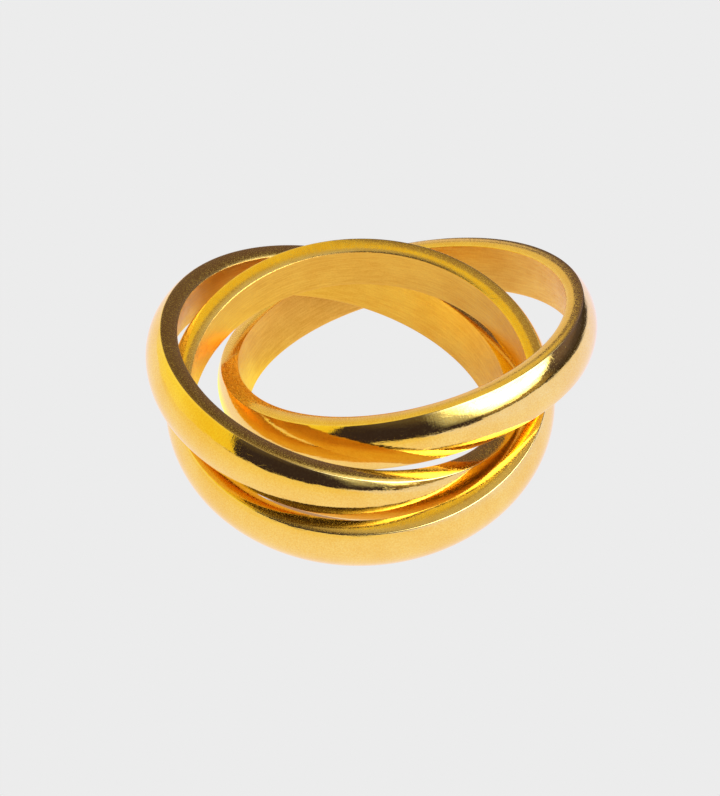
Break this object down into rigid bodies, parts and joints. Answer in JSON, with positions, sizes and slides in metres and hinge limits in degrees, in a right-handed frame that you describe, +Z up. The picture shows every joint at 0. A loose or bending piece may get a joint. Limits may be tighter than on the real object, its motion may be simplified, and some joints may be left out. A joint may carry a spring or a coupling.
{
  "type": "interlocking triple band ring",
  "caption": "Linked plain domed metal bands that turn through one another and roll along a finger as one ring, lying loosely together on a surface",
  "frame": {"origin": "on the surface that the bands lie on, under the middle of the ring's outline seen from above", "axes": "+Z up from the surface; +X to the right and +Y to the back as seen from the front, where the front band's lowest side is nearest"},
  "size_m": [0.0254, 0.0257, 0.0085],
  "materials": {
    "gold_band": "mirror polished domed outside and side faces, satin bore with fine brush lines around it"
  },
  "bodies": {
    "front_band": {"front_band": "gold_band"},
    "left_band": {"left_band": "gold_band"},
    "right_band": {"right_band": "gold_band"}
  },
  "joints": [
    {"name": "left_band_turn", "type": "hinge", "parent": "front_band", "child": "left_band", "pos_m": [-0.00208, -0.00082, 0.00427], "axis": [0.2731, 0.018, 0.9618], "continuous": true},
    {"name": "right_band_turn", "type": "hinge", "parent": "front_band", "child": "right_band", "pos_m": [0.00189, 0.00203, 0.00396], "axis": [-0.1742, 0.1684, 0.9702], "continuous": true}
  ]
}
